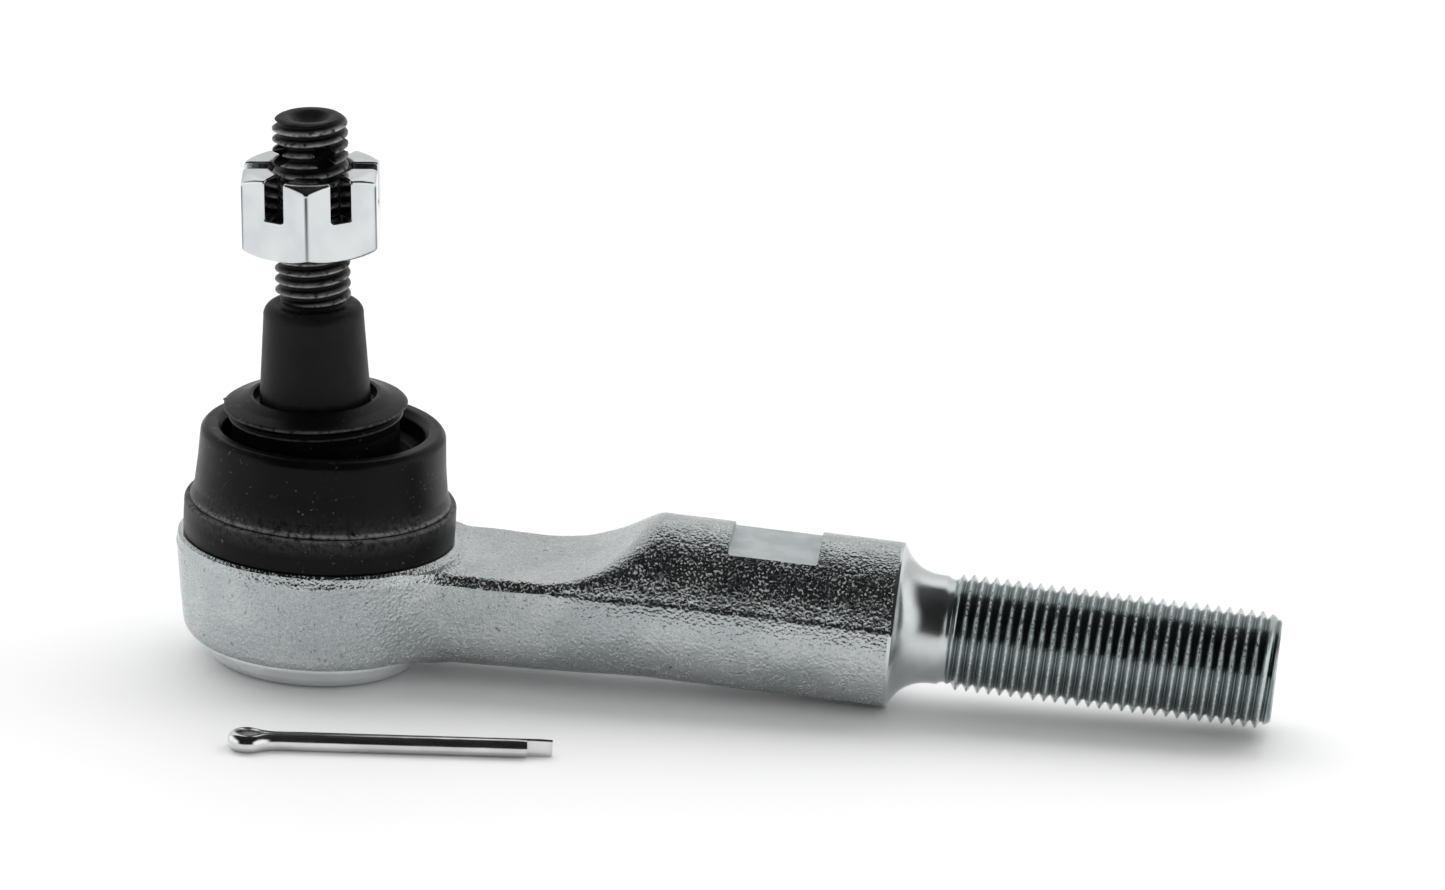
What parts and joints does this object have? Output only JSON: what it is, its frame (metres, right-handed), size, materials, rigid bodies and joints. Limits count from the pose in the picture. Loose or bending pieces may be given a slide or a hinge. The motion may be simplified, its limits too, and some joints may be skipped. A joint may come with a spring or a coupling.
{
  "type": "tie rod end",
  "caption": "Outer tie rod end: ball socket with a drooped threaded shank, leaning tapered ball stud, dust boot, castle nut and loose cotter pin.",
  "frame": {"origin": "centre of the ball, which is the point the stud swings about", "axes": "+Z along the socket axis towards the nut end of the stud; +X away from the socket above the shank, which droops below +X"},
  "size_m": [0.2106, 0.0855, 0.1079],
  "materials": {
    "zinc_forging": "satin",
    "zinc_bright": "polished",
    "phosphate_steel": "satin",
    "spring_steel": "satin",
    "bearing_polymer": "matte",
    "boot_rubber": "satin",
    "band_black": "satin",
    "pin_steel": "polished"
  },
  "bodies": {
    "housing": {"housing_forging": "zinc_forging", "upper_bearing": "bearing_polymer", "end_cover": "zinc_bright", "boot_clamp_ring": "band_black"},
    "socket_swivel": {"lower_bearing": "bearing_polymer", "preload_spring": "spring_steel", "dust_boot": "boot_rubber"},
    "boot_collar": {"boot_neck_ring": "bearing_polymer"},
    "stud": {"ball_stud": "phosphate_steel"},
    "nut": {"castle_nut": "zinc_bright"},
    "pin": {"cotter_pin": "pin_steel"}
  },
  "joints": [
    {"name": "swing_direction", "type": "hinge", "parent": "housing", "child": "socket_swivel", "pos_m": [0, 0, 0], "axis": [0, 0, 1], "continuous": true, "deforming": ["dust_boot"]},
    {"name": "stud_tilt", "type": "hinge", "parent": "socket_swivel", "child": "boot_collar", "pos_m": [0, 0, 0], "axis": [-0.4305, 0.9026, 0], "range_deg": [-18.4, 25.6], "deforming": ["dust_boot"]},
    {"name": "stud_spin", "type": "hinge", "parent": "boot_collar", "child": "stud", "pos_m": [0, 0, 0], "axis": [-0.0567, -0.027, 0.998], "continuous": true},
    {"name": "nut_travel", "type": "slide", "parent": "stud", "child": "nut", "axis": [-0.0567, -0.027, 0.998], "range_m": [-0.0113, 0.029]},
    {"name": "cotter_pin_lift", "type": "slide", "parent": "housing", "child": "pin", "axis": [0, 0, 1], "range_m": [0, 0.06]}
  ]
}
